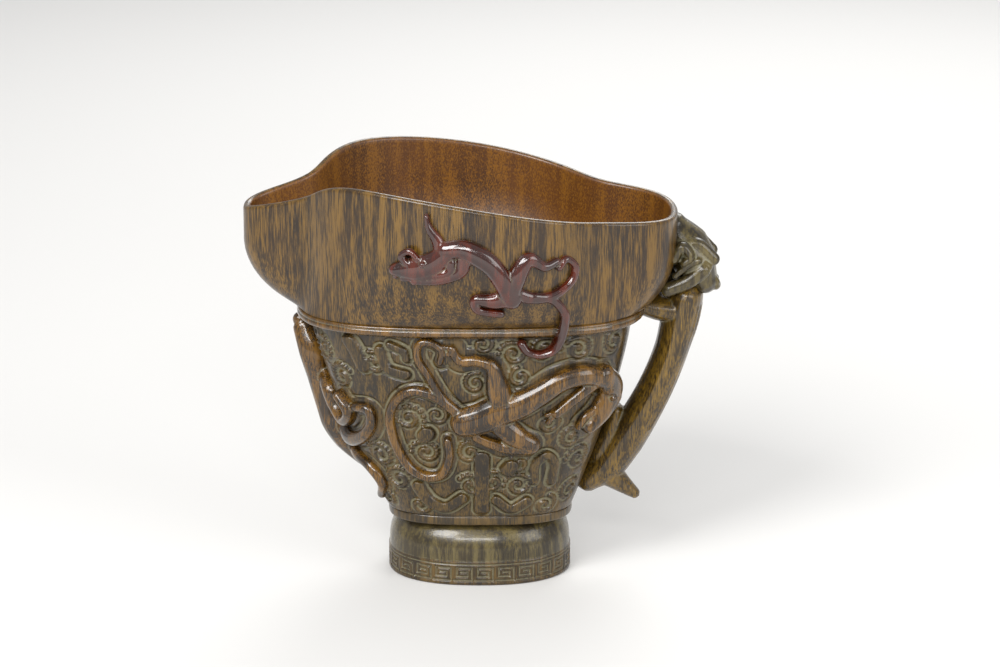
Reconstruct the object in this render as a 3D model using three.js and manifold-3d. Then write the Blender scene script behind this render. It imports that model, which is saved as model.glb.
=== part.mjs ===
// Carved horn libation cup: a flared mouth with a spout, a masked body, a looped handle under a
// beast head, an oval foot, and four dragons in high relief.
// Millimetres. X runs from the spout to the handle, Y from front to back, Z up from the table.
import * as THREE from "three";
import Module from "manifold-3d";

const wasm = await Module();
wasm.setup();

const { degToRad, radToDeg, lerp, clamp } = THREE.MathUtils;

// Heights
const FOOT_BAND_H = 7.4;
const SHOULDER_H = 11.1;
const MOULDING_H = 3;
const BODY_H = 58.5;
const LEDGE_H = 3.6;
const FOOT_TOP = FOOT_BAND_H + SHOULDER_H;
const BODY_Z = FOOT_TOP + MOULDING_H;
const LEDGE_Z = BODY_Z + BODY_H;
const BOWL_Z = LEDGE_Z + LEDGE_H;

// Plan ovals: reach to the spout, to the handle and to each side, and how square the oval is.
// The mouth adds a narrow lobe at the spout and a wider one at the handle.
const FOOT_PLAN = { spout: 27.6, handle: 27.6, side: 22, power: 2.3 };
const BASE_PLAN = { spout: 26.5, handle: 27, side: 19.5, power: 3 };
const TOP_PLAN = { spout: 49.5, handle: 45.5, side: 31.5, power: 3 };
const LEDGE_PLAN = { spout: 53.5, handle: 48.5, side: 33.5, power: 3 };
const RIM_PLAN = { spout: 54, handle: 46, side: 44, power: 2, lip: 16, heel: 13 };
const LIP_SPREAD = 12.7;
const HEEL_SPREAD = 29.6;

// The rim rises at the front and back and dips over the spout.
const RIM_MEAN = 119;
const RIM_TILT = 7.4;
const RIM_SADDLE = 1.2;
const SPOUT_DIP = 13.4;
const DIP_SPREAD = 23;

// Walls and small profiles
const RIM_WALL = 2.2;
const BOWL_WALL = 6.5;
const BODY_WALL = 4.2;
const FLOOR_Z = 30;
const FLOOR_ROUND = 12;
const NECK_IN = 4.5;
const MOULDING_OUT = 1;
const LEDGE_OUT = 0.8;
const EDGE = 0.6;
const BODY_CURVE = 1.35;
const BOWL_CURVE_END = 0.68;
const CLEARANCE = 0.3;
const SMOOTHING = 0.2;

// Facets round the cup, closer together at the spout.
const FACETS = 48;
const SPOUT_FINENESS = 0.4;
const TURNS = Array.from({ length: FACETS }, (_, i) => {
  const u = (360 * i) / FACETS;
  return u - SPOUT_FINENESS * radToDeg(Math.sin(degToRad(u)));
});

// A turn is in degrees: 0 at the spout, 90 at the front, 180 at the handle.
const place = (turn, r, z) =>
  new THREE.Vector3(-Math.cos(degToRad(turn)) * r, -Math.sin(degToRad(turn)) * r, z);

const offSpout = (turn) => radToDeg(Math.acos(clamp(Math.cos(degToRad(turn)), -1, 1)));

function reach(plan, turn) {
  const c = Math.cos(degToRad(turn));
  const s = Math.sin(degToRad(turn));
  const end = c > 0 ? plan.spout : plan.handle;
  const sum = Math.abs(c / end) ** plan.power + Math.abs(s / plan.side) ** plan.power;
  const off = offSpout(turn);
  const lip = (plan.lip ?? 0) * Math.exp(-((off / LIP_SPREAD) ** 3));
  const heel = (plan.heel ?? 0) * Math.exp(-(((180 - off) / HEEL_SPREAD) ** 4));
  return sum ** (-1 / plan.power) + lip + heel;
}

function rimHeight(turn) {
  const a = degToRad(turn);
  const dip = SPOUT_DIP * Math.exp(-((offSpout(turn) / DIP_SPREAD) ** 2));
  return RIM_MEAN + RIM_TILT * Math.cos(a) - RIM_SADDLE * Math.cos(2 * a) - dip;
}

// The carved skin. Rows 0 to 100 climb the body, 100 to 200 the bowl from the ledge to the rim.
function bodySkin(turn, row) {
  const t = row / 100;
  const g = 1 - (1 - t) ** BODY_CURVE;
  const r = lerp(reach(BASE_PLAN, turn), reach(TOP_PLAN, turn), g);
  return { r, z: lerp(FOOT_TOP, LEDGE_Z, t) };
}

function bowlSkin(turn, row) {
  const v = (row - 100) / 100;
  const s = Math.min(1, v / BOWL_CURVE_END);
  const f = (1 - (1 - s) ** 2) ** (2 / 3);
  const r = lerp(reach(LEDGE_PLAN, turn), reach(RIM_PLAN, turn), f);
  return { r, z: lerp(BOWL_Z, rimHeight(turn), v) };
}

const skin = (turn, row) => (row > 100 ? bowlSkin : bodySkin)(turn, row);

const planRing = (plan, out, z) => TURNS.map((t) => place(t, reach(plan, t) + out, z));

const ringOn = (surface, row, out = 0) =>
  TURNS.map((t) => place(t, surface(t, row).r + out, surface(t, row).z));

// A ring moved inwards, square to its own outline.
function inset(ring, depth, lift = 0) {
  const n = ring.length;
  return ring.map((p, i) => {
    const along = ring[(i + 1) % n].clone().sub(ring[(i + n - 1) % n]);
    const inward = new THREE.Vector3(-along.y, along.x, 0).setLength(depth);
    return p.clone().add(inward).setZ(p.z + lift);
  });
}

function solidFrom(points, triangles) {
  const mesh = new wasm.Mesh({
    numProp: 3,
    vertProperties: new Float32Array(points.flatMap((p) => [p.x, p.y, p.z])),
    triVerts: new Uint32Array(triangles.flat()),
  });
  return new wasm.Manifold(mesh);
}

// Rings joined one after another. A hollow loft joins its last ring to its first; another kind
// ends in a fan at each end, round the point given or the ring's own middle.
function loft(rings, hollow = false, tips = []) {
  const n = rings[0].length;
  const points = rings.flat();
  const triangles = [];
  const last = hollow ? rings.length : rings.length - 1;
  for (let i = 0; i < last; i++) {
    const low = i * n;
    const high = ((i + 1) % rings.length) * n;
    for (let j = 0; j < n; j++) {
      const k = (j + 1) % n;
      triangles.push([low + j, low + k, high + k], [low + j, high + k, high + j]);
    }
  }
  if (!hollow) {
    const middle = (ring) => ring.reduce((a, p) => a.add(p), new THREE.Vector3()).divideScalar(n);
    const first = points.push(tips[0] ?? middle(rings[0])) - 1;
    const end = points.push(tips[1] ?? middle(rings.at(-1))) - 1;
    const top = (rings.length - 1) * n;
    for (let j = 0; j < n; j++) {
      const k = (j + 1) % n;
      triangles.push([first, k, j], [end, top + j, top + k]);
    }
  }
  return solidFrom(points, triangles);
}

// The foot, the moulding, the body, the ledge and the bowl stack on flat faces.
const footBand = loft([
  planRing(FOOT_PLAN, -EDGE, 0),
  planRing(FOOT_PLAN, 0, EDGE),
  planRing(FOOT_PLAN, 0, FOOT_BAND_H - EDGE / 2),
  planRing(FOOT_PLAN, -EDGE / 2, FOOT_BAND_H),
]);

const SHOULDER_PROFILE = [0, 0.45, 0.75, 0.92, 1];
const footShoulder = loft(
  SHOULDER_PROFILE.map((t) =>
    planRing(FOOT_PLAN, -EDGE / 2 - NECK_IN * t ** 3, FOOT_BAND_H + SHOULDER_H * t),
  ),
);

const baseMoulding = loft([
  planRing(BASE_PLAN, MOULDING_OUT - EDGE, FOOT_TOP),
  planRing(BASE_PLAN, MOULDING_OUT, FOOT_TOP + EDGE),
  planRing(BASE_PLAN, MOULDING_OUT, BODY_Z - EDGE),
  planRing(BASE_PLAN, MOULDING_OUT - EDGE / 2, BODY_Z),
]);

const rowAt = (z) => (100 * (z - FOOT_TOP)) / (LEDGE_Z - FOOT_TOP);
const BODY_START = rowAt(BODY_Z);
const FLOOR_ROW = rowAt(FLOOR_Z);
const rise = (from, t) => lerp(from, 100, t);
const body = loft([
  ...[0, 0.1, 0.24, 0.4, 0.6, 0.8, 1].map((t) => ringOn(bodySkin, rise(BODY_START, t))),
  ...[1, 0.74, 0.46, 0.24, 0.08].map((t) =>
    inset(ringOn(bodySkin, rise(FLOOR_ROW, t)), lerp(BODY_WALL + 3, BODY_WALL, t ** 0.4)),
  ),
  inset(ringOn(bodySkin, FLOOR_ROW), FLOOR_ROUND),
]);

const ledgeBand = loft(
  [
    planRing(TOP_PLAN, EDGE, LEDGE_Z),
    planRing(LEDGE_PLAN, LEDGE_OUT, LEDGE_Z + 2 * EDGE),
    planRing(LEDGE_PLAN, LEDGE_OUT, BOWL_Z - EDGE),
    planRing(LEDGE_PLAN, LEDGE_OUT - EDGE, BOWL_Z),
    inset(planRing(LEDGE_PLAN, 0, BOWL_Z), BOWL_WALL),
    inset(planRing(TOP_PLAN, 0, LEDGE_Z), BODY_WALL),
  ],
  true,
);

const BOWL_ROWS = [100, 107, 118, 133, 150, 175, 200];
const bowlWall = (row) => lerp(BOWL_WALL, RIM_WALL, ((row - 100) / 100) ** 0.5);
const bowl = loft(
  [
    ...BOWL_ROWS.map((row) => ringOn(bowlSkin, row)),
    inset(ringOn(bowlSkin, 200), RIM_WALL / 2, RIM_WALL / 3),
    ...BOWL_ROWS.map((row) => inset(ringOn(bowlSkin, row), bowlWall(row))).reverse(),
  ],
  true,
);

// The whole outside of the cup, grown by the clearance, which cuts everything carved on it.
const vessel = loft([
  planRing(BASE_PLAN, MOULDING_OUT + CLEARANCE, FOOT_BAND_H),
  planRing(BASE_PLAN, MOULDING_OUT + CLEARANCE, BODY_Z + CLEARANCE),
  ...[0.1, 0.24, 0.4, 0.6, 0.8, 0.97].map((t) => ringOn(bodySkin, rise(BODY_START, t), CLEARANCE)),
  planRing(TOP_PLAN, EDGE + CLEARANCE, LEDGE_Z - CLEARANCE),
  planRing(LEDGE_PLAN, LEDGE_OUT + CLEARANCE, LEDGE_Z + 2 * EDGE - CLEARANCE),
  planRing(LEDGE_PLAN, LEDGE_OUT + CLEARANCE, BOWL_Z + CLEARANCE),
  ...BOWL_ROWS.slice(1).map((row) => ringOn(bowlSkin, row, CLEARANCE)),
]);

// A limb is a round-ended sweep over the skin. Its path holds [turn, row] points; wide, high and
// lift are half its width, half its height and its middle's height over the skin, and each can be
// a list that is spread along the limb.
const SIDES = 6;
const spread = (value, t) => {
  if (!Array.isArray(value)) return value;
  const at = t * (value.length - 1);
  const i = Math.min(Math.floor(at), value.length - 2);
  return lerp(value[i], value[i + 1], at - i);
};

function sweep(path, { wide, high, up, rings, grow = 0 }) {
  const curve = new THREE.CatmullRomCurve3(path, false, "centripetal");
  const sections = [];
  for (let i = 0; i < rings; i++) {
    const t = i / (rings - 1);
    const middle = curve.getPointAt(t);
    const along = curve.getTangentAt(t);
    const side = new THREE.Vector3().crossVectors(along, up(middle)).normalize();
    const over = new THREE.Vector3().crossVectors(side, along).normalize();
    const ring = Array.from({ length: SIDES }, (_, k) => {
      const a = (2 * Math.PI * k) / SIDES;
      return middle
        .clone()
        .addScaledVector(side, Math.cos(a) * (spread(wide, t) + grow))
        .addScaledVector(over, Math.sin(a) * (spread(high, t) + grow));
    });
    sections.push(ring);
  }
  const tip = (t, way) =>
    curve.getPointAt(t).addScaledVector(curve.getTangentAt(t), way * (spread(wide, t) * 0.7 + grow));
  const made = loft(sections, false, [tip(0, -1), tip(1, 1)]);
  if (made.volume() > 0) return made;
  return loft(sections.reverse(), false, [tip(1, 1), tip(0, -1)]);
}

const outward = (p) => new THREE.Vector3(p.x / LEDGE_PLAN.spout, p.y / TOP_PLAN.side, 0).normalize();

function limb({ path, wide, high = wide, lift = 0.5, back = false }, grow = 0) {
  const points = path.map(([turn, row], i) => {
    const { r, z } = skin(turn, row);
    const p = place(turn, r, z);
    p.addScaledVector(outward(p), spread(lift, i / (path.length - 1)));
    return back ? p.setY(-p.y) : p;
  });
  return sweep(points, { wide, high, up: outward, rings: Math.max(3, 2 * path.length - 1), grow });
}

const joined = (solids) => solids.reduce((a, b) => a.add(b));
const beast = (limbs, grow, back = false) => joined(limbs.map((one) => limb({ ...one, back }, grow)));

const FRONT_DRAGON = [
  { path: [[82, 57], [91, 59], [101, 63], [112, 66], [122, 72], [130, 78], [139, 80], [148, 76]],
    wide: [4.6, 5, 4.4, 3.6, 3.3, 3.2, 3], high: [3.6, 3.8, 3.2, 3, 3], lift: 1.4 },
  { path: [[148, 78], [154, 69], [151, 59], [146, 52]], wide: [3.4, 4.6, 4.2, 2.4], high: 3, lift: 1.6 },
  { path: [[144, 75], [137, 68], [130, 61]], wide: [2.4, 1.9, 1.6], high: 2, lift: 1 },
  { path: [[103, 66], [100, 77], [97, 86], [89, 89], [80, 89], [76, 95]],
    wide: [4, 3.8, 2.6, 1.8, 1.6, 1.3], high: [3.4, 3.4, 2.6, 2, 1.6, 1.4], lift: 1 },
  { path: [[101, 57], [114, 48], [121, 44], [108, 43], [96, 46], [88, 49]],
    wide: [3.6, 3.8, 2.8, 2, 1.7, 1.4], high: [3, 3.2, 2.4, 1.8, 1.6], lift: 0.9 },
  { path: [[84, 58], [76, 63], [69, 71], [64, 81], [60, 90], [61, 97], [66, 98], [71, 94], [70, 88]],
    wide: [2, 1.4, 1.3, 1.2, 1.2, 1.1], high: 1.6, lift: 0.6 },
  { path: [[80, 60], [67, 70], [57, 73], [50, 69], [45, 60], [44, 50], [45, 40], [49, 31], [57, 27],
    [66, 29], [71, 38], [71, 47]], wide: [1.8, 1.6, 1.5, 1.5, 1.6, 1.3], high: 1.8, lift: 0.7 },
];

const RIM_DRAGON = [
  { path: [[78, 169], [84, 171], [90, 167], [95, 160], [99, 148], [103, 132]],
    wide: [2.6, 3, 3.2, 3, 3, 3.2], high: 2.6, lift: 1 },
  { path: [[79, 168], [73, 157], [67, 152], [59, 149]], wide: [2.8, 3.6, 3.8, 2], high: 2.4, lift: 1 },
  { path: [[76, 166], [75, 175], [72, 184], [71, 193]], wide: [2, 1.8, 1.2, 0.8], high: 1.6, lift: 0.8 },
  { path: [[85, 165], [83, 153], [75, 145], [66, 142]], wide: [2.4, 2, 1.7, 1.4], high: 1.8, lift: 0.9 },
  { path: [[103, 134], [96, 130], [89, 130], [90, 121], [99, 118]],
    wide: [3, 2.4, 1.6, 1.4, 1.4], high: 1.8, lift: 0.9 },
  { path: [[102, 136], [105, 155], [109, 168], [115, 162], [120, 167]],
    wide: [3, 3, 2.4, 1.6, 1.2], high: [2.4, 2.4, 1.8, 1.4], lift: 0.8 },
  { path: [[103, 138], [110, 133], [117, 133], [122, 138], [127, 149], [128, 162], [124, 169], [121, 161]],
    wide: [2.2, 1.8, 1.5, 1.3, 1.2, 1.1], high: 1.5, lift: 0.7 },
  { path: [[112, 134], [119, 131], [124, 120], [126, 108], [125, 97], [120, 93], [114, 94], [111, 98]],
    wide: 1.4, high: [1.5, 1.5, 1.6, 1.6, 2.8, 2.6, 2.4, 2.2], lift: [0.7, 0.8, 1, 1.6, 3.2, 2.6, 2.2, 2] },
];

const SPOUT_DRAGON_BACK = [
  { path: [[1, 92], [3, 80], [1, 66], [1, 54], [2, 43], [1, 33], [0, 25]],
    wide: [2.4, 3, 3.4, 4, 4.4, 4, 2.6], high: [3.6, 4.2, 4.4, 4.8, 5.2, 4.6, 3], lift: [3.6, 3, 3, 3.2, 3.4, 2.4, 1] },
];
const SPOUT_DRAGON_SIDE = [
  { path: [[4, 68], [12, 64], [13, 56], [20, 51], [27, 58], [24, 66]], wide: [3, 2.2, 1.8, 1.6], high: 3, lift: 1 },
  { path: [[6, 44], [18, 41], [30, 46], [36, 54], [36, 61], [30, 61]],
    wide: [3.2, 2.4, 1.8, 1.4], high: [3.4, 3, 2.2, 1.6], lift: 0.8 },
  { path: [[2, 33], [14, 31], [25, 28], [29, 20], [22, 12]], wide: [2.6, 2, 1.7, 1.4], high: [3, 2.4, 2, 1.6], lift: 0.8 },
];

// Mask carving, low on the skin: one node for each piece on the front, and the same on the back.
const MASK = {
  centre_flange: { path: [[92, 9], [92, 23], [92, 37]], wide: 2.3, high: 1.3, lift: 0 },
  corner_rib: { path: [[38, 84], [36, 92], [34, 97]], wide: [1.6, 2, 2.4], high: 1.6, lift: 0 },
  mask_eye: { path: [[59, 49], [60, 50]], wide: 2.4, high: 1.6, lift: 0.2 },
  mask_horn: { path: [[45, 93], [47, 84], [54, 81]], wide: [1.6, 1.5, 1.2], high: 1.4, lift: 0 },
  mask_brow: { path: [[49, 96], [54, 93], [55, 89]], wide: 1.1, high: 1.3, lift: 0 },
  mask_claw: { path: [[50, 21], [55, 13], [65, 10], [77, 15]], wide: [1.4, 2, 1.8, 1.3], high: 1.5, lift: 0 },
  mask_ball: { path: [[109, 31], [111, 33]], wide: 2.2, high: 1.8, lift: 0.3 },
  mask_jaw: { path: [[103, 14], [114, 9], [124, 13]], wide: [1.2, 1.8, 1.2], high: 1.4, lift: 0 },
  mask_hook: { path: [[126, 24], [125, 33], [130, 38], [135, 33], [136, 23]], wide: 1.3, high: 1.5, lift: 0 },
};

// The handle: a strap that leaves the ledge, bows out and runs into the body, with a spur below.
// Points are [x, z] on the mid-plane, x counted from the ledge's end, or from the mouth's for the head.
const MOUTH_END = RIM_PLAN.handle + RIM_PLAN.heel;
const sidewise = () => new THREE.Vector3(0, 1, 0);
const bar = (points, wide, high, rings, grow = 0, y = 0, from = LEDGE_PLAN.handle) =>
  sweep(
    points.map(([x, z]) => new THREE.Vector3(from + x, y, z)),
    { wide, high, up: sidewise, rings, grow },
  );

const STRAP_HALF = [8.5, 8.5, 8.2, 8, 7.6, 7, 6.5, 6];
const STRAP_PATH = [
  [13, 86], [11.6, 78], [9.4, 68.6], [6.6, 60.8], [3.2, 53], [-1, 45.2], [-5.5, 38], [-10.5, 31], [-15.5, 27],
];
const strap = bar(STRAP_PATH, [5.8, 5.6, 5.2, 5.1, 5.3, 5.6, 6, 5.8, 4], STRAP_HALF, 17);
const bridge = bar([[-1.5, 83], [4.5, 81.5], [11.5, 80.5]], [3.4, 4.4, 4.6], STRAP_HALF[0] - 0.5, 5);
const web = bar([[-7.4, 48.5], [-9, 42], [-12, 35]], [2.4, 3.8, 4.2], [4, 5, 5], 5);
const spur = bar([[-8.5, 28], [-4.5, 24.6], [-1.5, 22.2]], [4, 2.8, 1.7], [5, 3.6, 2.6], 6);

// The beast head, between the mouth's handle lobe and the strap.
function head(grow) {
  const part = (points, wide, high, rings, y = 0) => bar(points, wide, high, rings, grow, y, MOUTH_END);
  const both = (y, ...rest) => [part(...rest, y), part(...rest, -y)];
  return joined([
    part([[-1, 106], [2.5, 100.5], [5.5, 94.5], [8, 89.5]], [4, 6.6, 6.8, 4.4], [5, 8, 8.6, 6.4], 8),
    part([[5, 93], [9, 90], [11.6, 87.8]], [4.2, 3, 1.6], [6, 5, 3.4], 5),
    ...both(5.6, [[-0.5, 101], [5.5, 101.5], [10.5, 97]], 2, [2, 2, 1.6], 6),
    ...both(8.2, [[-1.5, 98], [1, 101.5], [3.5, 98.5]], 1.9, 2.4, 6),
    ...both(7.4, [[-3, 88], [3, 90.5], [7.5, 94]], 2.2, 2, 6),
  ]);
}

const biggest = (solid) =>
  solid.simplify(SMOOTHING).decompose().sort((a, b) => b.volume() - a.volume())[0];
const mirrorSide = (limbs) =>
  limbs.flatMap((one) => [one, { ...one, path: one.path.map(([turn, row]) => [-turn, row]) }]);
const SPOUT_DRAGON = [...SPOUT_DRAGON_BACK, ...mirrorSide(SPOUT_DRAGON_SIDE)];

const HORN = { color: 0x6b4a22, roughness: 0.42 };
const PALE = { color: 0x8a7a5c, roughness: 0.4 };
const RED = { color: 0x6d2a12, roughness: 0.2 };

const cup = new THREE.Group();
cup.name = "libation_cup";

function add(name, solid, look) {
  const { vertProperties, triVerts, numProp } = solid.getMesh();
  const geometry = new THREE.BufferGeometry();
  geometry.setAttribute("position", new THREE.BufferAttribute(new Float32Array(vertProperties), numProp));
  geometry.setIndex(new THREE.BufferAttribute(new Uint32Array(triVerts), 1));
  const mesh = new THREE.Mesh(geometry, new THREE.MeshStandardMaterial({ metalness: 0, ...look }));
  mesh.name = name;
  cup.add(mesh);
}

add("foot_band", footBand, HORN);
add("foot_shoulder", footShoulder, PALE);
add("base_moulding", baseMoulding, HORN);
add("body", body, HORN);
add("ledge_band", ledgeBand, HORN);
add("bowl", bowl, HORN);
add("beast_head", biggest(head(0).subtract(vessel)), PALE);

// Each dragon is cut clear of the cup and of what was added before it.
const taken = [head(CLEARANCE)];
function carve(name, make, look) {
  const clear = taken.reduce((a, b) => a.subtract(b), make(0).subtract(vessel));
  add(name, biggest(clear), look);
  taken.push(make(CLEARANCE));
}
const handleWhole = joined([strap, bridge, web, spur]);
add("handle", biggest(handleWhole.subtract(vessel).subtract(taken[0])), HORN);
taken.push(handleWhole);
carve("rim_dragon", (grow) => beast(RIM_DRAGON, grow), RED);
carve("front_dragon", (grow) => beast(FRONT_DRAGON, grow), HORN);
carve("back_dragon", (grow) => beast(FRONT_DRAGON, grow, true), HORN);
carve("spout_dragon", (grow) => beast(SPOUT_DRAGON, grow), HORN);
for (const [name, piece] of Object.entries(MASK)) {
  carve(`front_${name}`, (grow) => beast([piece], grow), HORN);
  carve(`back_${name}`, (grow) => beast([piece], grow, true), HORN);
}

export default cup;
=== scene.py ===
"""A carved horn libation cup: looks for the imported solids, spout at -X, handle at +X, front at -Y.

Shapes are worked out in millimetres, as the solids are, and become metres when a mesh is made.
"""
import math

import bpy
import numpy as np
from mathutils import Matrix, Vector


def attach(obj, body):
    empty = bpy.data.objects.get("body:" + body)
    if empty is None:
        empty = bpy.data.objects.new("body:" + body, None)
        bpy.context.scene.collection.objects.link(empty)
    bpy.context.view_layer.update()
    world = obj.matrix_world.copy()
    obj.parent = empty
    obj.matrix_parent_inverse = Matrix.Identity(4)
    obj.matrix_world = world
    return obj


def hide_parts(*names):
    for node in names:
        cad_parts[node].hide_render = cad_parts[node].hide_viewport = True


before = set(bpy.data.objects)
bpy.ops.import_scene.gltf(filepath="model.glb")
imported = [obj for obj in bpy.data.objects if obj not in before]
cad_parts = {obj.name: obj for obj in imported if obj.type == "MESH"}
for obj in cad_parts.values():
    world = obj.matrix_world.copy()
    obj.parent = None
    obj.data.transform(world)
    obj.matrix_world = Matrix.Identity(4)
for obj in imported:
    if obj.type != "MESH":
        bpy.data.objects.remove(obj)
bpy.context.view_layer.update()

MM = 0.001

# Heights of the foot's band, the foot, the body, the ledge and the bowl, and of the hollow's floor.
FOOT_BAND_H = 7.4
FOOT_TOP = 18.5
BODY_Z = 21.5
LEDGE_Z = 80.0
BOWL_Z = 83.6
FLOOR_Z = 30.0

# Plan ovals: reach to the spout, to the handle and to the side, how square the oval is, and the
# lobes that the mouth adds at the spout and at the handle.
FOOT_PLAN = (27.6, 27.6, 22, 2.3, 0, 0)
BASE_PLAN = (26.5, 27, 19.5, 3, 0, 0)
TOP_PLAN = (49.5, 45.5, 31.5, 3, 0, 0)
LEDGE_PLAN = (53.5, 48.5, 33.5, 3, 0, 0)
RIM_PLAN = (54, 46, 44, 2, 16, 13)
LIP_SPREAD = 12.7
HEEL_SPREAD = 29.6

# The rim's height: its mean, its rise to the spout, its saddle, and the dip over the spout.
RIM_MEAN = 119
RIM_TILT = 7.4
RIM_SADDLE = 1.2
SPOUT_DIP = 13.4
DIP_SPREAD = 23

BODY_CURVE = 1.35
BOWL_CURVE_END = 0.68
SPOUT_FINENESS = 0.4
RIM_WALL = 2.2
RIM_CROWN = 0.9
BOWL_WALL = 6.5
WALL_TAPER = 0.5
BODY_WALL = 4.2
FLOOR_ROUND = 12.0
NECK_IN = 4.5
MOULDING_OUT = 1.0
LEDGE_OUT = 0.8

# How finely each piece is divided, round the cup and up it.
BODY_GRID = (520, 260)
MOUTH_STEPS = 420
BOWL_ROWS, ROW_CROWDING, LIP_STEPS = 60, 1.2, 9
FOOT_STEPS = 900
BAND_RINGS, SHOULDER_RINGS = 46, 30


def off_spout(turn):
    return np.degrees(np.arccos(np.clip(np.cos(np.radians(turn)), -1, 1)))


def reach(plan, turn):
    """How far a plan oval lies from the axis at a turn: 0 at the spout, 90 in front, 180 at the handle."""
    spout, handle, side, power, lip, heel = plan
    c, s = np.cos(np.radians(turn)), np.sin(np.radians(turn))
    end = np.where(c > 0, spout, handle)
    oval = (np.abs(c / end) ** power + np.abs(s / side) ** power) ** (-1 / power)
    off = off_spout(turn)
    lobe = lip * np.exp(-(off / LIP_SPREAD) ** 3)
    return oval + lobe + heel * np.exp(-((180 - off) / HEEL_SPREAD) ** 4)


def rim_height(turn):
    a = np.radians(turn)
    dip = SPOUT_DIP * np.exp(-(off_spout(turn) / DIP_SPREAD) ** 2)
    return RIM_MEAN + RIM_TILT * np.cos(a) - RIM_SADDLE * np.cos(2 * a) - dip


def place(turn, r, z):
    a = np.radians(turn)
    return np.stack(np.broadcast_arrays(-np.cos(a) * r, -np.sin(a) * r, z), -1)


def body_skin(turn, row):
    """The body's outside: row 0 is level with the foot's top, row 100 with the ledge."""
    t = np.asarray(row, float) / 100
    g = 1 - (1 - np.clip(t, 0, 1)) ** BODY_CURVE
    r = reach(BASE_PLAN, turn) * (1 - g) + reach(TOP_PLAN, turn) * g
    return place(turn, r, FOOT_TOP + (LEDGE_Z - FOOT_TOP) * t)


def bowl_skin(turn, row):
    """The bowl's outside: row 100 is on the ledge, row 200 on the rim."""
    v = (np.asarray(row, float) - 100) / 100
    s = np.clip(v / BOWL_CURVE_END, 0, 1)
    f = (1 - (1 - s) ** 2) ** (2 / 3)
    r = reach(LEDGE_PLAN, turn) * (1 - f) + reach(RIM_PLAN, turn) * f
    return place(turn, r, BOWL_Z + (rim_height(turn) - BOWL_Z) * v)


def skin(turn, row):
    turn, row = np.broadcast_arrays(np.asarray(turn, float), np.asarray(row, float))
    on_bowl = (row > 100)[..., None]
    return np.where(on_bowl, bowl_skin(turn, np.maximum(row, 100)), body_skin(turn, np.minimum(row, 100)))


def body_row(z):
    return 100 * (z - FOOT_TOP) / (LEDGE_Z - FOOT_TOP)


def turns(count):
    """Turns round the cup, closer together at the spout."""
    u = 360 * np.arange(count) / count
    return u - SPOUT_FINENESS * np.degrees(np.sin(np.radians(u)))


def plan_ring(plan, turn, out, z):
    return place(turn, reach(plan, turn) + out, z)


def inset(ring, depth, lift=0.0):
    """A ring moved inwards, square to its own outline."""
    along = np.roll(ring, -1, 0) - np.roll(ring, 1, 0)
    inward = np.stack([-along[:, 1], along[:, 0], np.zeros(len(ring))], 1)
    inward /= np.linalg.norm(inward, axis=1)[:, None]
    out = ring + inward * depth
    out[:, 2] += lift
    return out


def loft(rings, closed=False):
    """Rings joined in order. A closed loft joins its last to its first; another ends in two fans."""
    n = len(rings[0])
    j = np.arange(n)
    k = (j + 1) % n
    points = np.concatenate(rings)
    faces = []
    for i in range(len(rings) if closed else len(rings) - 1):
        low, high = i * n, (i + 1) % len(rings) * n
        faces += np.stack([low + j, low + k, high + k, high + j], 1).tolist()
    if not closed:
        first, top = len(points), len(points) - n
        points = np.concatenate([points, [rings[0].mean(0), rings[-1].mean(0)]])
        faces += np.stack([k, j, np.full(n, first)], 1).tolist()
        faces += np.stack([top + j, top + k, np.full(n, first + 1)], 1).tolist()
    return points, faces


def finish_piece(name, mesh, materials, replaced, index=None):
    mesh.validate()
    for material in materials:
        mesh.materials.append(material)
    if index is not None:
        mesh.polygons.foreach_set("material_index", np.asarray(index, dtype=np.int32))
    mesh.polygons.foreach_set("use_smooth", np.ones(len(mesh.polygons), dtype=bool))
    mesh.update()
    obj = bpy.data.objects.new(name, mesh)
    bpy.context.scene.collection.objects.link(obj)
    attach(obj, "root")
    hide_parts(*replaced)


def piece(name, points, faces, materials, replaced, index=None):
    mesh = bpy.data.meshes.new(name)
    mesh.from_pydata((points * MM).tolist(), [], faces)
    finish_piece(name, mesh, materials, replaced, index)


class Socket:
    """A value inside one material, with the arithmetic that shader maths needs."""

    def __init__(self, finish, out):
        self.finish, self.out = finish, out

    def maths(self, kind, a, b, clamped=False):
        settings = {"operation": kind, "use_clamp": clamped}
        return self.finish.node("ShaderNodeMath", settings, {0: a, 1: b})

    def __add__(self, other):
        return self.maths("ADD", self, other)

    def __sub__(self, other):
        return self.maths("SUBTRACT", self, other)

    def __rsub__(self, other):
        return self.maths("SUBTRACT", other, self)

    def __mul__(self, other):
        return self.maths("MULTIPLY", self, other)

    __radd__, __rmul__ = __add__, __mul__

    def clamped(self):
        return self.maths("ADD", self, 0.0, clamped=True)


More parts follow.
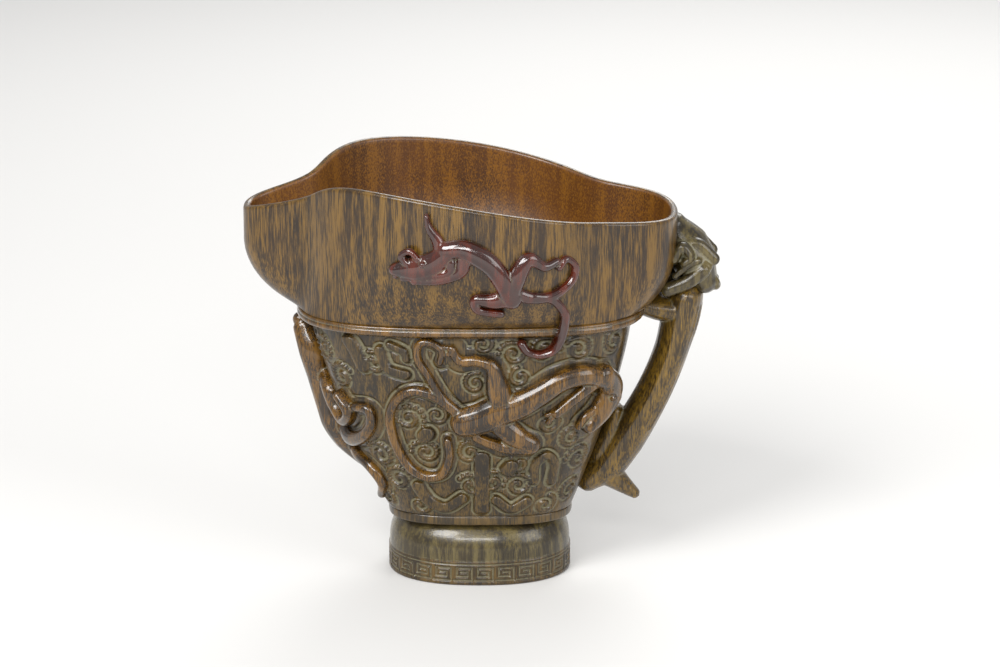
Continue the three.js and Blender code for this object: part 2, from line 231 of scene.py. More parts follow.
class Finish:
    """One Principled material."""

    def __init__(self, name):
        self.material = bpy.data.materials.new(name)
        self.material.use_nodes = True
        self.tree = self.material.node_tree
        self.shader = next(n for n in self.tree.nodes if n.type == "BSDF_PRINCIPLED")

    def feed(self, target, value):
        if isinstance(value, Socket):
            self.tree.links.new(value.out, target)
        else:
            target.default_value = value

    def node(self, kind, settings=None, inputs=None, out=0):
        """A node with its settings made first, then its inputs, by name or place."""
        made = self.tree.nodes.new(kind)
        for key, value in (settings or {}).items():
            setattr(made, key, value)
        for key, value in (inputs or {}).items():
            self.feed(made.inputs[key], value)
        return Socket(self, made.outputs[out])

    def noise(self, scale, stretch, detail, rough):
        coords = self.node("ShaderNodeTexCoord", out="Object")
        moved = self.node("ShaderNodeMapping", None, {"Vector": coords, "Scale": stretch})
        inputs = {"Vector": moved, "Scale": scale, "Detail": detail, "Roughness": rough}
        return self.node("ShaderNodeTexNoise", None, inputs)

    def span(self, value, low, high):
        settings = {"clamp": True, "interpolation_type": "SMOOTHSTEP"}
        inputs = {"Value": value, "From Min": low, "From Max": high}
        return self.node("ShaderNodeMapRange", settings, inputs)

    def mix(self, amount, a, b):
        return self.node("ShaderNodeMix", {"data_type": "RGBA"}, {0: amount, 6: a, 7: b}, out=2)

    def bump(self, height, strength, distance):
        inputs = {"Height": height, "Strength": strength, "Distance": distance}
        return self.node("ShaderNodeBump", None, inputs)

    def set(self, **values):
        for key, value in values.items():
            self.feed(self.shader.inputs[key.replace("_", " ")], value)


def tint(r, g, b):
    """An eight-bit screen colour as a linear one."""
    lin = [((v / 255 + 0.055) / 1.055) ** 2.4 if v > 10 else v / 255 / 12.92 for v in (r, g, b)]
    return (*lin, 1.0)


# The noises of the horn: scale, stretch, detail and roughness. The fine streaks' stretch is horn()'s own.
FINE_SCALE, FINE_DETAIL, FINE_ROUGH = 2800, 5.0, 0.65
BROAD_STREAKS = (330, (1, 1, 0.1), 3.0, 0.5)
CLOUDS = (45, (1, 1, 0.6), 3.0, 0.6)
SPECKS = (900, (1, 1, 1), 4.0, 0.7)
# From where to where each noise or bend of the surface counts.
STREAK_SPAN = (0.43, 0.6)
CLOUD_SPAN = (0.35, 0.7)
HOLLOW_SPAN = (0.002, 0.045)
EDGE_SPAN = (0.015, 0.07)
DEEP_SHADE = 0.45
DUST_RAGGED = 0.06
EDGE_HIGHLIGHT = 0.3
DUST_DULL, DARK_DULL = 0.35, 0.06
BUMP_STRENGTH, BUMP_HEIGHT = 0.45, 0.00014
COAT_ROUGH = 0.08


def horn(name, dark, light, dust, dusty, streak=0.6, gloss=0.3, coat=0.25, long=(1, 1, 0.06)):
    """Waxed horn: fine streaks up the growth of the horn, pale dust in hollows, and a painted highlight on
    convex edges.
    """
    look = Finish(name)
    fine = look.noise(FINE_SCALE, long, FINE_DETAIL, FINE_ROUGH)
    broad = look.noise(*BROAD_STREAKS)
    cloud = look.noise(*CLOUDS)
    grain = look.span(fine * streak + broad * (1 - streak), *STREAK_SPAN)
    shade = look.span(cloud, *CLOUD_SPAN)
    deep = tuple(v * DEEP_SHADE for v in dark[:3]) + (1.0,)
    base = look.mix(grain, look.mix(shade, dark, deep), light)
    bend = look.node("ShaderNodeNewGeometry", out="Pointiness")
    specks = look.noise(*SPECKS)
    hollow = look.span(0.5 - bend + (specks - 0.5) * DUST_RAGGED, *HOLLOW_SPAN)
    # Painted highlight: convex edges, found by the surface's bend, are mixed towards the light tone.
    edge = look.span(bend - 0.5, *EDGE_SPAN)
    base = look.mix(hollow * dusty, base, dust)
    base = look.mix(edge * EDGE_HIGHLIGHT, base, light)
    dull = hollow * DUST_DULL + (1 - grain) * DARK_DULL + gloss
    look.set(Base_Color=base, Roughness=dull.clamped())
    look.set(Normal=look.bump(fine * 0.6 + specks * 0.4, BUMP_STRENGTH, BUMP_HEIGHT))
    look.set(Coat_Weight=coat, Coat_Roughness=COAT_ROUGH)
    return look.material


DUST = tint(112, 106, 80)
PALE_DUST = tint(132, 128, 104)
WINE_HAZE = tint(96, 66, 50)
HORN_OUT = horn("horn_streaked", tint(44, 27, 6), tint(112, 82, 28), DUST, 0.5)
HORN_CARVED = horn("horn_carved", tint(36, 26, 8), tint(92, 70, 26), DUST, 0.9)
HORN_PALE = horn("horn_dusty", tint(52, 42, 20), tint(96, 84, 48), PALE_DUST, 0.9, 0.5, 0.24)
HORN_RED = horn("horn_red", tint(50, 13, 3), tint(80, 26, 8), DUST, 0.5, 0.3, 0.08, 0.9)
HORN_AMBER = horn("horn_amber", tint(42, 27, 6), tint(112, 78, 24), DUST, 1.0, 0.55, 0.2, 0.5)
HORN_YELLOW = horn("horn_yellow", tint(48, 34, 10), tint(122, 94, 34), DUST, 0.8, 0.7, 0.26, 0.3)
HORN_IN = horn("horn_inside", tint(88, 50, 10), tint(124, 80, 20), WINE_HAZE, 0.3, 0.7, 0.36,
               long=(1, 1, 0.5))


def path_points(points, count=14):
    """A smooth curve through the points, count steps between each pair."""
    p = np.asarray(points, float)
    p = np.concatenate([[2 * p[0] - p[1]], p, [2 * p[-1] - p[-2]]])
    out = []
    for i in range(1, len(p) - 2):
        t = np.linspace(0, 1, count, endpoint=False)[:, None]
        a, b, c, d = p[i - 1:i + 3]
        bend = (2 * a - 5 * b + 4 * c - d) * t ** 2
        out.append(0.5 * (2 * b + (c - a) * t + bend + (3 * b - a - 3 * c + d) * t ** 3))
    return np.concatenate(out + [[p[-2]]])


def spread(value, t):
    """One value, or a list of values spread evenly along a limb, at each t."""
    v = np.atleast_1d(np.asarray(value, float))
    return np.interp(t, np.linspace(0, 1, len(v)), v)


ROUND_END = (0.95, 0.7, 0.35)


def sweep(middles, wide, high, up, sides=14):
    """A tube with round ends along the middles; up says which way its height goes."""
    step = np.linalg.norm(np.diff(middles, axis=0), axis=1)
    t = np.concatenate([[0], np.cumsum(step)]) / step.sum()
    w, h = spread(wide, t), spread(high, t)
    along = np.gradient(middles, axis=0)
    along /= np.linalg.norm(along, axis=1)[:, None]
    side = np.cross(along, up)
    side /= np.linalg.norm(side, axis=1)[:, None]
    over = np.cross(side, along)
    a = 2 * np.pi * np.arange(sides)[:, None] / sides

    def ring(i, push=0.0):
        section = np.cos(a) * side[i] * w[i] + np.sin(a) * over[i] * h[i]
        return middles[i] + along[i] * (push * w[i]) + math.sqrt(1 - push * push) * section

    end = len(middles) - 1
    rings = [ring(0, -push) for push in ROUND_END]
    rings += [ring(i) for i in range(len(middles))]
    rings += [ring(end, push) for push in reversed(ROUND_END)]
    points, faces = loft(rings)
    return points, [face[::-1] for face in faces]


def outward(p):
    """The way off the cup at each point, level with the table."""
    v = np.stack([p[:, 0] / LEDGE_PLAN[0], p[:, 1] / TOP_PLAN[2], np.zeros(len(p))], 1)
    return v / np.linalg.norm(v, axis=1)[:, None]


def on_skin(path, count):
    return path_points(skin(*np.asarray(path, float).T), count)


def limb(path, wide, high, lift, back=False):
    knots = skin(*np.asarray(path, float).T)
    knots = knots + outward(knots) * spread(lift, np.linspace(0, 1, len(knots)))[:, None]
    middles = path_points(knots)
    if back:
        middles = middles * [1, -1, 1]
    return sweep(middles, wide, high, outward(middles))


BALL_LEVELS, BALL_SIDES = 12, 16


def ball(turn, row, size, lift, back=False):
    """An eye or a pearl, held off the skin by its lift."""
    a = 2 * np.pi * np.arange(BALL_SIDES) / BALL_SIDES
    centre = skin(turn, row)
    centre = centre + outward(centre[None])[0] * lift
    if back:
        centre = centre * [1, -1, 1]
    rings = []
    for v in np.linspace(0, np.pi, BALL_LEVELS)[1:-1]:
        level = [np.cos(a) * np.sin(v), np.sin(a) * np.sin(v), np.full(BALL_SIDES, -np.cos(v))]
        rings.append(centre + size * np.stack(level, 1))
    return loft(rings)


def carve(name, solids, material, replaced, voxel=0.32, smooth=5):
    """Overlapping closed forms made into one skin, then smoothed as polished horn is."""
    faces, start = [], 0
    for p, f in solids:
        faces += [[i + start for i in face] for face in f]
        start += len(p)
    mesh = bpy.data.meshes.new(name + "_rough")
    mesh.from_pydata((np.concatenate([p for p, _ in solids]) * MM).tolist(), [], faces)
    rough = bpy.data.objects.new(name + "_rough", mesh)
    bpy.context.scene.collection.objects.link(rough)
    remesh = rough.modifiers.new("one_skin", "REMESH")
    remesh.mode = "VOXEL"
    remesh.voxel_size = voxel * MM
    polish = rough.modifiers.new("polish", "SMOOTH")
    polish.iterations = smooth
    polish.factor = 0.5
    graph = bpy.context.evaluated_depsgraph_get()
    made = bpy.data.meshes.new_from_object(rough.evaluated_get(graph))
    bpy.data.objects.remove(rough)
    made.name = name
    made.materials.clear()
    finish_piece(name, made, [material], replaced)


# The dragons: [turn, row] along each limb, then half width, half height and lift over the skin.
FRONT_LIMBS = [
    ([(82, 57), (91, 59), (101, 63), (112, 66), (122, 72), (130, 78), (139, 80), (148, 76)],
     [4.6, 5, 4.4, 3.6, 3.3, 3.2, 3], [3.6, 3.8, 3.2, 3, 3], 1.4),
    ([(148, 78), (154, 69), (151, 59), (146, 52)], [3.4, 4.6, 4.2, 2.4], 3, 1.6),
    ([(144, 75), (137, 68), (130, 61)], [2.4, 1.9, 1.6], 2, 1),
    ([(103, 66), (100, 77), (97, 86), (89, 89), (80, 89), (76, 95)],
     [4, 3.8, 2.6, 1.8, 1.6, 1.3], [3.4, 3.4, 2.6, 2, 1.6, 1.4], 1),
    ([(101, 57), (114, 48), (121, 44), (108, 43), (96, 46), (88, 49)],
     [3.6, 3.8, 2.8, 2, 1.7, 1.4], [3, 3.2, 2.4, 1.8, 1.6], 0.9),
    ([(84, 58), (76, 63), (69, 71), (64, 81), (60, 90), (61, 97), (66, 98), (71, 94), (70, 88)],
     [2, 1.4, 1.3, 1.2, 1.2, 1.1], 1.6, 0.6),
    ([(80, 60), (67, 70), (57, 73), (50, 69), (45, 60), (44, 50), (45, 40), (49, 31), (57, 27),
      (66, 29), (71, 38), (71, 47)], [1.8, 1.6, 1.5, 1.5, 1.6, 1.3], 1.8, 0.7),
]
FRONT_EAR_JAW_CLAWS = [
    ([(150, 70), (156, 66), (155, 60)], [1.4, 1.2, 0.8], 1.4, 3.6),
    ([(147, 60), (143, 57), (141, 52)], [1.4, 1.2, 0.8], 1.3, 1.6),
    ([(76, 95), (72, 96)], 0.7, 0.9, 0.8),
    ([(76, 95), (74, 92)], 0.7, 0.9, 0.8),
    ([(131, 62), (126, 60)], 0.8, 1, 0.9),
    ([(131, 62), (127, 56)], 0.8, 1, 0.9),
]
RIM_LIMBS = [
    ([(78, 169), (84, 171), (90, 167), (95, 160), (99, 148), (103, 132)],
     [2.6, 3, 3.2, 3, 3, 3.2], 2.6, 1),
    ([(79, 168), (73, 157), (67, 152), (59, 149)], [2.8, 3.6, 3.8, 2], 2.4, 1),
    ([(76, 166), (75, 175), (72, 184), (71, 193)], [2, 1.8, 1.2, 0.8], 1.6, 0.8),
    ([(85, 165), (83, 153), (75, 145), (66, 142)], [2.4, 2, 1.7, 1.4], 1.8, 0.9),
    ([(103, 134), (96, 130), (89, 130), (90, 121), (99, 118)], [3, 2.4, 1.6, 1.4, 1.4], 1.8, 0.9),
    ([(102, 136), (105, 155), (109, 168), (115, 162), (120, 167)],
     [3, 3, 2.4, 1.6, 1.2], [2.4, 2.4, 1.8, 1.4], 0.8),
    ([(103, 138), (110, 133), (117, 133), (122, 138), (127, 149), (128, 162), (124, 169), (121, 161)],
     [2.2, 1.8, 1.5, 1.3, 1.2, 1.1], 1.5, 0.7),
    # the second tail, over the ledge
    ([(112, 134), (119, 131), (124, 120), (126, 108), (125, 97), (120, 93), (114, 94), (111, 98)],
     1.4, [1.5, 1.5, 1.6, 1.6, 2.8, 2.6, 2.4, 2.2], [0.7, 0.8, 1, 1.6, 3.2, 2.6, 2.2, 2]),
    # ear spiral, second foreleg and muzzle
    ([(66, 152), (62, 160), (65, 165), (68, 160)], [1.2, 1.1, 0.9], 1.2, 2),
    ([(80, 160), (79, 152), (71, 147), (62, 143)], [1.4, 1.2, 1], 1.4, 1.4),
    ([(60, 150), (59, 144)], 0.9, 1.1, 1.2),
]
SPOUT_MIDDLE = [
    ([(1, 92), (3, 80), (1, 66), (1, 54), (2, 43), (1, 33), (0, 25)],
     [2.4, 3, 3.4, 4, 4.4, 4, 2.6], [3.6, 4.2, 4.4, 4.8, 5.2, 4.6, 3], [3.6, 3, 3, 3.2, 3.4, 2.4, 1]),
]
SPOUT_SIDE = [
    ([(4, 68), (12, 64), (13, 56), (20, 51), (27, 58), (24, 66)], [3, 2.2, 1.8, 1.6], 3, 1),
    ([(6, 44), (18, 41), (30, 46), (36, 54), (36, 61), (30, 61)],
     [3.2, 2.4, 1.8, 1.4], [3.4, 3, 2.2, 1.6], 0.8),
    ([(2, 33), (14, 31), (25, 28), (29, 20), (22, 12)], [2.6, 2, 1.7, 1.4], [3, 2.4, 2, 1.6], 0.8),
]
# The mask's pieces, low on the body: path, half width and height of the relief.
MASK = {
    "centre_flange": ([(92, 9), (92, 23), (92, 37)], 2.3, 1.3),
    "corner_rib": ([(38, 84), (36, 92), (34, 97)], 2.0, 1.6),
    "mask_eye": ([(59, 49), (60, 50)], 2.4, 1.8),
    "mask_horn": ([(45, 93), (47, 84), (54, 81)], 1.5, 1.4),
    "mask_brow": ([(49, 96), (54, 93), (55, 89)], 1.1, 1.3),
    "mask_claw": ([(50, 21), (55, 13), (65, 10), (77, 15)], 1.8, 1.5),
    "mask_ball": ([(109, 31), (111, 33)], 2.2, 2.1),
    "mask_jaw": ([(103, 14), (114, 9), (124, 13)], 1.6, 1.4),
    "mask_hook": ([(126, 24), (125, 33), (130, 38), (135, 33), (136, 23)], 1.3, 1.5),
}
# Scrolls of the ground between them: turn, row, size, way round, and how many rounds they make.
SCROLLS = [
    (20, 88, 5.0, 1, 1.6), (27, 76, 4.2, -1, 1.4), (42, 86, 3.6, 1, 1.3), (52, 58, 4.6, -1, 1.6),
    (58, 40, 4.0, 1, 1.5), (84, 40, 3.8, -1, 1.3), (84, 22, 3.8, 1, 1.4), (100, 24, 3.6, -1, 1.3),
    (117, 22, 4.2, 1, 1.5), (122, 94, 4.4, -1, 1.5), (136, 93, 4.0, 1, 1.4), (108, 92, 4.2, 1, 1.5),
    (88, 77, 3.4, -1, 1.3), (148, 34, 4.2, 1, 1.5), (141, 46, 3.8, -1, 1.4), (40, 24, 4.0, -1, 1.4),
    (34, 36, 4.2, 1, 1.4), (152, 94, 4.0, -1, 1.3), (66, 60, 3.2, 1, 1.2), (116, 34, 3.0, -1, 1.1),
    (150, 16, 3.6, -1, 1.3), (26, 12, 3.4, 1, 1.3), (136, 10, 3.2, 1, 1.2), (112, 80, 3.2, -1, 1.2),
    (16, 97, 3.0, -1, 1.0), (92, 97, 3.0, 1, 1.1), (128, 55, 3.2, 1, 1.2), (48, 10, 3.0, 1, 1.1),
]
SCROLL_HALF, SCROLL_H, SCROLL_CUT = 0.62, 0.75, 0.4
SCROLL_START, SCROLL_GROWTH, SCROLL_POINTS = 0.3, 0.8, 26
SWELL_SHARE, SWELL_H, SWELL_CUT = 0.9, 0.25, 0.5
MASK_CUT = 0.55
# A raised band's section: its sloping edge, its crown's start and rise, and the cut line's place and width.
BAND_EDGE, CROWN_START, CROWN_RISE = 0.7, 0.72, 0.28
CUT_AWAY, CUT_WIDTH = 0.75, 0.45
# Relief higher than this covers the cuts under it. The relief fades out at the moulding and the ledge.
COVERING = 0.12
FADE_LOW, FADE_HIGH = 0.03, 0.02


def scroll_path(turn, row, size, way, rounds):
    """A flat spiral on the body's skin, from its middle outwards."""
    a = np.linspace(SCROLL_START, rounds * 2 * np.pi, SCROLL_POINTS)
    r = size * (a / a[-1]) ** SCROLL_GROWTH
    across = r * np.cos(a) * way
    upward = r * np.sin(a)
    from_axis = np.linalg.norm(skin(turn, row)[:2])
    row_mm = (LEDGE_Z - FOOT_TOP) / 100
    return body_skin(turn + np.degrees(across / from_axis), row + upward / row_mm)


def relief(points, path, half, height, cut):
    """A raised band with a crown along a path, and a line cut beside each of its edges."""
    margin = half + 3
    low, high = path.min(0) - margin, path.max(0) + margin
    near = np.flatnonzero(np.all((points > low) & (points < high), axis=1))
    out = np.zeros(len(points))
    if len(near):
        gap = np.min(np.linalg.norm(points[near, None, :] - path[None], axis=2), axis=1)
        edge = np.clip((half + BAND_EDGE / 2 - gap) / BAND_EDGE, 0, 1)
        edge = edge * edge * (3 - 2 * edge)
        crown = CROWN_START + CROWN_RISE * np.sqrt(np.clip(1 - (gap / half) ** 2, 0, 1))
        line = cut * np.exp(-((gap - half - CUT_AWAY) / CUT_WIDTH) ** 2)
        out[near] = height * edge * crown - line
    return out


def body_relief(points):
    """The mask, the ground's scrolls and a swelling under each dragon, the same front and back."""
    parts = [np.zeros(len(points))]
    for flip in (1, -1):
        turned = points * [1, flip, 1]
        for path, half, height in MASK.values():
            parts.append(relief(turned, on_skin(path, 10), half, height, MASK_CUT))
        for one in SCROLLS:
            parts.append(relief(turned, scroll_path(*one), SCROLL_HALF, SCROLL_H, SCROLL_CUT))
        for path, wide, _, _ in FRONT_LIMBS + SPOUT_SIDE:
            half = float(np.max(wide)) * SWELL_SHARE
            parts.append(relief(turned, on_skin(path, 8), half, SWELL_H, SWELL_CUT))
    top = np.max(parts, axis=0)
    return np.where(top > COVERING, top, np.min(parts, axis=0))


# The hollow's rings, from the ledge down, and how much thicker its wall grows towards the floor.
HOLLOW_LEVELS = (1, 0.9, 0.74, 0.6, 0.46, 0.34, 0.24, 0.15, 0.08)
WALL_GROWTH, GROWTH_BEND = 3, 0.4


def make_body():
    n, rows = BODY_GRID
    turn = turns(n)
    levels = np.linspace(0, 1, rows)
    start, floor = body_row(BODY_Z), body_row(FLOOR_Z)
    grid = np.stack([body_skin(turn, row) for row in start + (100 - start) * levels])
    flat = grid.reshape(-1, 3)
    raised = body_relief(flat).reshape(rows, n)
    fade = np.clip(np.minimum(levels / FADE_LOW, (1 - levels) / FADE_HIGH), 0, 1)[:, None]
    grid = grid + outward(flat).reshape(rows, n, 3) * (raised * fade)[..., None]
    hollow = []
    for t in HOLLOW_LEVELS:
        wall = BODY_WALL + WALL_GROWTH * (1 - t ** GROWTH_BEND)
        hollow.append(inset(body_skin(turn, floor + (100 - floor) * t), wall))
    hollow.append(inset(body_skin(turn, floor + 0.6), FLOOR_ROUND - 3))
    hollow.append(inset(body_skin(turn, floor), FLOOR_ROUND))
    moulding = [(0.6, FOOT_TOP), (0.1, FOOT_TOP + 0.2), (0, FOOT_TOP + 0.7),
                (0, BODY_Z - 0.7), (0.15, BODY_Z - 0.25), (0.8, BODY_Z - 0.1)]
    base = [plan_ring(BASE_PLAN, turn, MOULDING_OUT - back, z) for back, z in moulding]
    points, faces = loft(base + list(grid) + hollow)
    inside = np.zeros(len(faces), int)
    inside[(len(base) + rows) * n:-2 * n] = 1
    inside[-n:] = 1
    stood_for = ["body", "base_moulding"]
    stood_for += [f"{side}_{name}" for side in ("front", "back") for name in MASK]
    piece("carved_body", points, faces, [HORN_CARVED, HORN_IN], stood_for, inside)


def make_bowl():
    turn = turns(MOUTH_STEPS)
    rows = 100 + 100 * np.linspace(0, 1, BOWL_ROWS) ** ROW_CROWDING
    outer = [bowl_skin(turn, row) for row in rows]
    lip = [inset(outer[-1], RIM_WALL * (1 - math.cos(a)) / 2, RIM_CROWN * math.sin(a))
           for a in np.linspace(0, math.pi, LIP_STEPS)[1:-1]]
    inner = []
    for row in rows[::-1]:
        wall = BOWL_WALL + (RIM_WALL - BOWL_WALL) * ((row - 100) / 100) ** WALL_TAPER
        inner.append(inset(bowl_skin(turn, row), wall))
    points, faces = loft(outer + lip + inner, closed=True)
    inside = np.zeros(len(faces), int)
    inside[(len(outer) + len(lip) - 2) * MOUTH_STEPS:] = 1
    piece("bowl_shell", points, faces, [HORN_OUT, HORN_IN], ["bowl"], inside)


def make_ledge():
    turn = turns(MOUTH_STEPS)
    outline = [
        (TOP_PLAN, 0.3, LEDGE_Z), (TOP_PLAN, 1.6, LEDGE_Z + 0.3), (LEDGE_PLAN, 0.1, LEDGE_Z + 0.8),
        (LEDGE_PLAN, LEDGE_OUT, LEDGE_Z + 1.4), (LEDGE_PLAN, LEDGE_OUT, LEDGE_Z + 2.4),
        (LEDGE_PLAN, 0.45, LEDGE_Z + 2.6), (LEDGE_PLAN, 0.7, LEDGE_Z + 2.9),
        (LEDGE_PLAN, 0.6, BOWL_Z - 0.3), (LEDGE_PLAN, 0.2, BOWL_Z),
    ]
    rings = [plan_ring(plan, turn, out, z) for plan, out, z in outline]
    rings.append(inset(plan_ring(LEDGE_PLAN, turn, 0, BOWL_Z), BOWL_WALL))
    rings.append(inset(plan_ring(TOP_PLAN, turn, 0, LEDGE_Z), BODY_WALL))
    points, faces = loft(rings, closed=True)
    piece("ledge_moulding", points, faces, [HORN_AMBER], ["ledge_band"])


FRET_UNIT = 6.4
FRET_LINE = [(0.4, 0.9), (5.8, 0.9), (5.8, 4.7), (1.3, 4.7), (1.3, 2.2), (4.5, 2.2), (4.5, 3.5), (2.6, 3.5)]
FRET_HALF, FRET_SLOPE, FRET_DEPTH, FRET_START = 0.5, 0.25, 0.42, 0.7
# The line cut under the band's top edge: its height, width and depth.
EDGE_LINE_Z, EDGE_LINE_WIDTH, EDGE_LINE_DEPTH = 6.6, 0.22, 0.3


def fret_cut(along, up):
    """Squared spirals of a key fret, each cut as one line: 1 in the cut, 0 outside."""
    u = np.mod(along, FRET_UNIT)
    gap = np.full(u.shape, FRET_UNIT)
    for (x0, z0), (x1, z1) in zip(FRET_LINE, FRET_LINE[1:]):
        dx, dz = x1 - x0, z1 - z0
        t = np.clip(((u - x0) * dx + (up - z0) * dz) / (dx * dx + dz * dz), 0, 1)
        gap = np.minimum(gap, np.hypot(u - x0 - t * dx, up - z0 - t * dz))
    return np.clip((FRET_HALF - gap) / FRET_SLOPE, 0, 1)


def make_foot():
    turn = turns(FOOT_STEPS)
    edge = plan_ring(FOOT_PLAN, turn, 0, 0)
    along = np.concatenate([[0], np.cumsum(np.linalg.norm(np.diff(edge, axis=0), axis=1))])
    band = [plan_ring(FOOT_PLAN, turn, -0.9, 0.0), plan_ring(FOOT_PLAN, turn, -0.4, 0.1)]
    for z in np.linspace(0.4, FOOT_BAND_H - 0.4, BAND_RINGS):
        edge_line = EDGE_LINE_DEPTH * math.exp(-((z - EDGE_LINE_Z) / EDGE_LINE_WIDTH) ** 2)
        cut = fret_cut(along, z - FRET_START) * FRET_DEPTH + edge_line
        band.append(plan_ring(FOOT_PLAN, turn, -cut, z))
    band.append(plan_ring(FOOT_PLAN, turn, -0.25, FOOT_BAND_H - 0.1))
    shoulder = []
    for t in np.linspace(0.02, 1, SHOULDER_RINGS):
        z = FOOT_BAND_H + (FOOT_TOP - FOOT_BAND_H) * t
        shoulder.append(plan_ring(FOOT_PLAN, turn, -0.3 - NECK_IN * t ** 3, z))
    points, faces = loft(band + shoulder)
    pale = np.zeros(len(faces), int)
    pale[len(band) * FOOT_STEPS:-2 * FOOT_STEPS] = 1
    piece("oval_foot", points, faces, [HORN_CARVED, HORN_PALE],
          ["foot_band", "foot_shoulder"], pale)


def bar(points, wide, high, y=0.0):
    """A bar along [x, z] points beside the mid-plane, wide in that plane and high across it."""
    middles = path_points([(x, y, z) for x, z in points], 12)
    across = np.tile([0.0, 1.0, 0.0], (len(middles), 1))
    return sweep(middles, wide, high, across, 20)


# The strap's ribs: how far each is from the mid-plane, and the oval of the strap that they are sunk to.
RIBS = (-5.4, -3.6, -1.8, 0, 1.8, 3.6, 5.4)
STRAP_DEEP, STRAP_HALF, RIB_SUNK = 5.4, 8.2, 0.15


def make_handle():
    strap = [(61.5, 84.5), (60.1, 78), (57.9, 68.6), (55.1, 60.8), (51.7, 53), (47.5, 45.2), (43, 38),
             (38, 31), (33, 27)]
    solids = [
        bar(strap, [5.6, 5.6, 5.2, 5.1, 5.3, 5.6, 6, 5.8, 4], [8.5, 8.5, 8.2, 8, 7.6, 7, 6.5, 6]),
        bar([(47, 83), (53, 81.5), (60, 80.5)], [3.4, 4.4, 4.6], 8),
        bar([(41.1, 48.5), (39.5, 42), (36.5, 35)], [2.4, 3.8, 4.2], [4, 5, 5]),
        bar([(40, 28), (44, 24.6), (47, 22.2)], [4, 2.8, 1.7], [5, 3.6, 2.6]),
    ]
    outer = [(66.6, 82), (65.4, 76), (63, 68.6), (60.2, 60.4), (56.8, 52.2), (52.6, 44)]
    for y in RIBS:
        sunk = STRAP_DEEP * (1 - math.sqrt(1 - (y / STRAP_HALF) ** 2)) + RIB_SUNK
        solids.append(bar([(x - sunk, z) for x, z in outer], 0.5, 0.45, y))
    carve("handle_strap", solids, HORN_YELLOW, ["handle"], 0.35, 3)


def kept_outside(points, sunk=1.2):
    """Points that would come through the bowl's wall, moved out into the wall."""
    turn = np.degrees(np.arctan2(-points[:, 1], -points[:, 0]))
    row = 100 + 100 * (points[:, 2] - BOWL_Z) / (rim_height(turn) - BOWL_Z)
    wall = np.hypot(*bowl_skin(turn, np.clip(row, 100.5, 200))[:, :2].T) - sunk
    r = np.hypot(points[:, 0], points[:, 1])
    moved = points.copy()
    moved[:, :2] *= (np.maximum(r, wall) / r)[:, None]
    return moved


def make_head():
    solids = [
        bar([(58, 106), (61.5, 100.5), (64.5, 94.5), (67, 89.5)], [4, 6.6, 6.8, 4.4], [5, 8, 8.6, 6.4]),
        bar([(64, 93), (68, 90), (70.6, 87.8)], [4.2, 3, 1.6], [6, 5, 3.4]),
    ]
    # brow, ear, cheek, eye, nostril and cheek line, on each side
    for s in (-1, 1):
        solids += [
            bar([(58.5, 101), (64.5, 101.5), (69.5, 97)], 2, [2, 2, 1.6], 5.6 * s),
            bar([(57.5, 98), (60, 101.5), (62.5, 98.5), (60.5, 96.5)], [1.9, 1.6, 1.2], 2.4, 8.2 * s),
            bar([(56, 88), (62, 90.5), (66.5, 94)], 2.2, 2, 7.4 * s),
            bar([(66.8, 95.4), (67.6, 94.8)], 1.7, 1.7, 6.6 * s),
            bar([(69.6, 90.4), (70.6, 89.2)], 1.2, 1.2, 2.4 * s),
            bar([(58, 92.5), (62, 95.6), (65, 97.2)], 0.9, 0.9, 8.4 * s),
        ]
    solids.append(bar([(59, 108), (64, 104), (68.5, 98.5)], [1, 1.3, 1], 0.9))
    solids = [(kept_outside(points), faces) for points, faces in solids]
    carve("beast_head_carved", solids, HORN_PALE, ["beast_head"], 0.3, 3)


def mirrored(limbs):
    return limbs + [([(-turn, row) for turn, row in path], *rest) for path, *rest in limbs]


def make_dragons():
    for side, back in (("front", False), ("back", True)):
        solids = [limb(*one, back=back) for one in FRONT_LIMBS + FRONT_EAR_JAW_CLAWS]
        solids.append(ball(151.5, 66, 1.1, 5.0, back))
        carve(f"{side}_dragon_carved", solids, HORN_AMBER, [f"{side}_dragon"])
    rim = [limb(*one) for one in RIM_LIMBS] + [ball(70, 157, 0.9, 3.4)]
    carve("rim_dragon_carved", rim, HORN_RED, ["rim_dragon"], 0.26, 4)
    spout = [limb(*one) for one in SPOUT_MIDDLE + mirrored(SPOUT_SIDE)] + [ball(0, 95, 2.3, 4.6)]
    carve("spout_dragon_carved", spout, HORN_AMBER, ["spout_dragon"])


# The stage, in metres.
FLOOR_HALF = 6.0
FLOOR_TONE, FLOOR_ROUGH = (0.72, 0.71, 0.69, 1), 0.75
STUDIO_TONE, STUDIO_STRENGTH = (0.93, 0.94, 0.96, 1), 0.55
CUP_MIDDLE = (0, 0, 0.07)
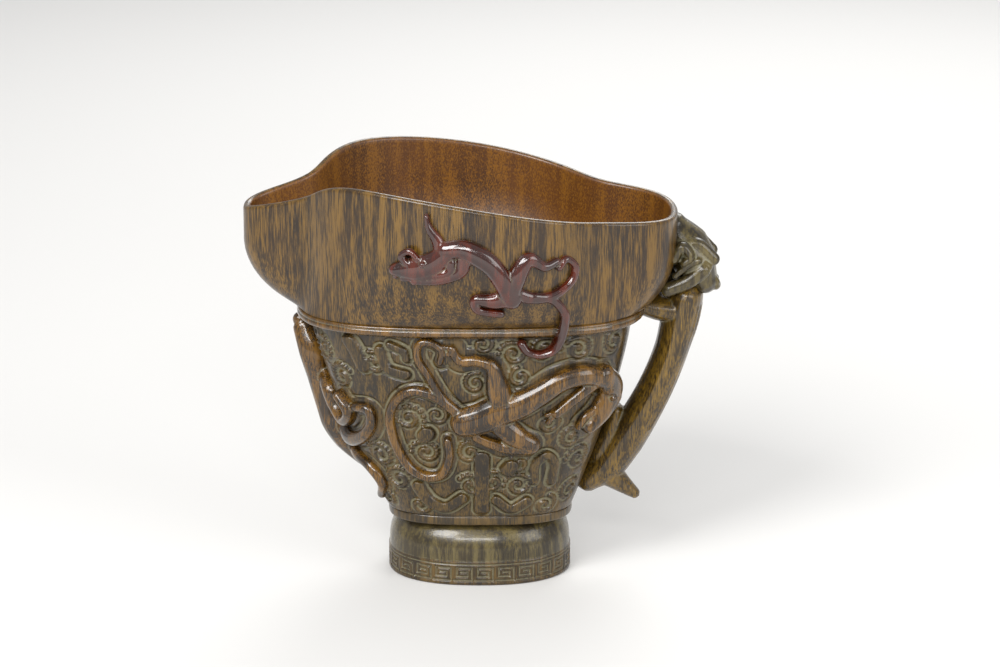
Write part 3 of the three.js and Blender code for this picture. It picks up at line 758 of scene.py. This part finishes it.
# Each lamp: place, width, height and watts.
LAMPS = {
    "key": ((-0.5, -0.75, 0.85), 0.5, 0.5, 11),
    "fill": ((0.8, -0.6, 0.5), 0.6, 0.6, 4),
    "strip": ((-0.05, -0.9, 0.55), 0.48, 0.12, 3),
    "rear": ((0.2, 0.8, 0.7), 0.6, 0.6, 5),
}
CAMERA_AIM = (0.0062, 0, 0.0724)
CAMERA_ELEVATION = 16
CAMERA_DISTANCE = 1.1
CAMERA_SENSOR, CAMERA_LENS = 36.0, 132.0


def set_floor():
    corners = [(x * FLOOR_HALF, y * FLOOR_HALF, 0) for x, y in ((-1, -1), (1, -1), (1, 1), (-1, 1))]
    mesh = bpy.data.meshes.new("floor")
    mesh.from_pydata(corners, [], [(0, 1, 2, 3)])
    floor = bpy.data.objects.new("floor", mesh)
    bpy.context.scene.collection.objects.link(floor)
    look = Finish("pale_floor")
    look.set(Base_Color=FLOOR_TONE, Roughness=FLOOR_ROUGH)
    mesh.materials.append(look.material)


def set_lights():
    world = bpy.data.worlds.new("studio")
    bpy.context.scene.world = world
    world.use_nodes = True
    back = next(n for n in world.node_tree.nodes if n.type == "BACKGROUND")
    back.inputs["Color"].default_value = STUDIO_TONE
    back.inputs["Strength"].default_value = STUDIO_STRENGTH
    for name, (spot, width, height, power) in LAMPS.items():
        data = bpy.data.lights.new(name, "AREA")
        data.shape = "RECTANGLE"
        data.size, data.size_y = width, height
        data.energy = power
        obj = bpy.data.objects.new(name, data)
        obj.location = spot
        obj.rotation_euler = (Vector(CUP_MIDDLE) - Vector(spot)).to_track_quat("-Z", "Y").to_euler()
        bpy.context.scene.collection.objects.link(obj)


def set_camera():
    elevation = math.radians(CAMERA_ELEVATION)
    data = bpy.data.cameras.new("photo_camera")
    data.sensor_width, data.lens = CAMERA_SENSOR, CAMERA_LENS
    obj = bpy.data.objects.new("photo_camera", data)
    back = Vector((0, -math.cos(elevation), math.sin(elevation)))
    obj.location = Vector(CAMERA_AIM) + back * CAMERA_DISTANCE
    obj.rotation_euler = back.to_track_quat("Z", "Y").to_euler()
    bpy.context.scene.collection.objects.link(obj)
    bpy.context.scene.camera = obj


make_foot()
make_body()
make_ledge()
make_bowl()
make_handle()
make_head()
make_dragons()
set_floor()
set_lights()
set_camera()
bpy.context.scene.view_settings.view_transform = "Standard"
